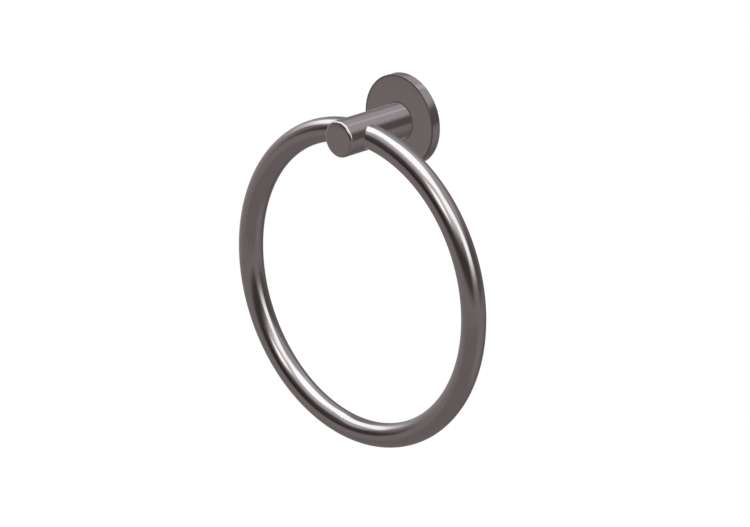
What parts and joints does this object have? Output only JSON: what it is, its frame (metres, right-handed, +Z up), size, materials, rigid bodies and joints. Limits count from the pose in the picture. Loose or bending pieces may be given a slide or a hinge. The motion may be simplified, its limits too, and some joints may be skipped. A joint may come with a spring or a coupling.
{
  "type": "towel ring",
  "caption": "Wall-mounted towel ring: a round tube ring held in a turned cylindrical post, on a round cover rose over a screw-fixed wall plate.",
  "frame": {"origin": "on the wall surface, where the axis of the post meets it", "axes": "+Z up, +Y into the wall along the post's axis, +X to the right as seen from the room; the ring hangs below the post in a plane parallel to the wall"},
  "size_m": [0.164, 0.0467, 0.1807],
  "materials": {
    "ring_metal": "polished dark nickel tube",
    "post_metal": "satin-polished dark nickel, turned",
    "rose_metal": "satin-polished dark nickel, pressed and spun",
    "plated_steel": "zinc-plated steel",
    "grub_screw_steel": "blackened steel",
    "dowel_brass": "plain turned brass"
  },
  "bodies": {
    "root": {"ring": "ring_metal", "ring_joint_dowel": "dowel_brass", "post": "post_metal", "ring_clamp_screw": "grub_screw_steel", "post_lock_screw": "grub_screw_steel", "cover_rose": "rose_metal", "wall_plate": "plated_steel", "mounting_stub": "plated_steel", "stub_screw": "plated_steel", "stub_locating_pin": "plated_steel"}
  },
  "joints": []
}
